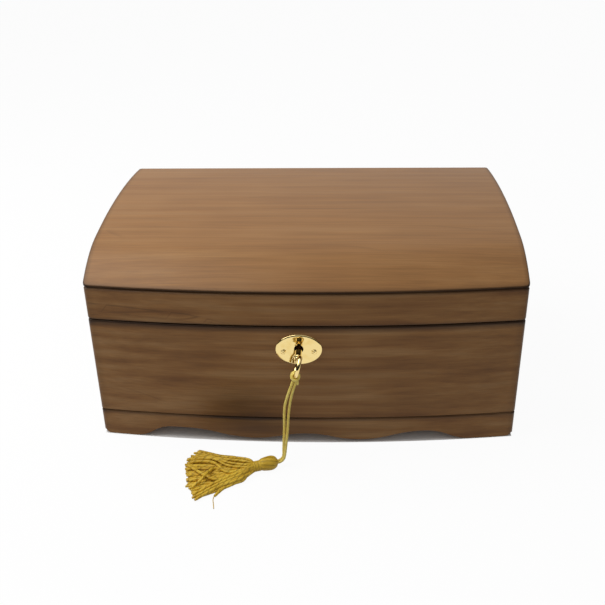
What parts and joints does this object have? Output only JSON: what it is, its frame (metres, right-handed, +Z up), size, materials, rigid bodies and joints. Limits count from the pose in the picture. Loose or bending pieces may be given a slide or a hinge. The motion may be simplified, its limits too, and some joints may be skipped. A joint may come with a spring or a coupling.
{
  "type": "keepsake box",
  "caption": "Bow-fronted wooden keepsake box with a domed hinged lid, scalloped skirt, oval brass lock plate, box lock, and a key on a tasselled cord.",
  "frame": {"origin": "on the floor, under the middle of the outline of the box with its key in the lock", "axes": "+X to the right seen from the front, +Y from the front to the hinges, +Z up"},
  "size_m": [0.349, 0.3277, 0.1636],
  "materials": {
    "stained_hardwood": "mid brown stained hardwood, satin lacquer",
    "plain_softwood": "plain sawn softwood",
    "felt_lining": "short napped felt",
    "polished_brass": "polished brass",
    "brass_screws": "dull brass",
    "lock_steel": "filed steel",
    "gold_cord": "shiny rayon cord",
    "gold_thread": "shiny rayon thread"
  },
  "bodies": {
    "case": {"bottom_board": "plain_softwood", "case_back": "stained_hardwood", "case_front": "stained_hardwood", "case_left": "stained_hardwood", "case_right": "stained_hardwood", "corner_block_back_left": "plain_softwood", "corner_block_back_right": "plain_softwood", "corner_block_front_left": "plain_softwood", "corner_block_front_right": "plain_softwood", "escutcheon": "polished_brass", "escutcheon_pins": "polished_brass", "hinge_case_leaf_left": "polished_brass", "hinge_case_leaf_right": "polished_brass", "hinge_case_screws": "brass_screws", "hinge_pin_left": "polished_brass", "hinge_pin_right": "polished_brass", "lining_back": "felt_lining", "lining_floor": "felt_lining", "lining_front": "felt_lining", "lining_left": "felt_lining", "lining_right": "felt_lining", "lock_back_plate": "polished_brass", "lock_case": "polished_brass", "lock_drill_pin": "lock_steel", "lock_screws": "brass_screws", "lock_selvedge": "polished_brass", "lock_studs": "lock_steel", "selvedge_screws": "brass_screws", "skirt_back": "stained_hardwood", "skirt_front": "stained_hardwood", "skirt_left": "stained_hardwood", "skirt_right": "stained_hardwood"},
    "lid": {"hinge_lid_leaf_left": "polished_brass", "hinge_lid_leaf_right": "polished_brass", "hinge_lid_screws": "brass_screws", "lid_back": "stained_hardwood", "lid_front": "stained_hardwood", "lid_left": "stained_hardwood", "lid_lining": "felt_lining", "lid_right": "stained_hardwood", "lid_top": "stained_hardwood", "link_plate": "polished_brass", "link_plate_screws": "brass_screws"},
    "bolt": {"bolt": "lock_steel"},
    "tassel": {"cord_strand_left": "gold_cord", "cord_strand_right": "gold_cord", "tassel_head": "gold_thread", "tassel_neck": "gold_thread", "tassel_threads": "gold_thread"},
    "key": {"key": "polished_brass", "cord_hitch": "gold_cord"}
  },
  "joints": [
    {"name": "lid_hinge", "type": "hinge", "parent": "case", "child": "lid", "pos_m": [0, 0.14043, 0.11275], "axis": [-1, 0, 0], "range_deg": [0, 95]},
    {"name": "key_withdraw", "type": "slide", "parent": "case", "child": "tassel", "axis": [0, -1, 0], "range_m": [0, 0.0318]},
    {"name": "key_turn", "type": "hinge", "parent": "tassel", "child": "key", "pos_m": [-0.0047, -0.10987, 0.0924], "axis": [0, 1, 0], "range_deg": [0, 90]},
    {"name": "bolt_slide", "type": "slide", "parent": "case", "child": "bolt", "axis": [-1, 0, 0], "range_m": [0, 0.004]}
  ],
  "couplings": [
    {"joint": "bolt_slide", "follows": "key_turn", "m_per_rad": 0.0025465}
  ]
}
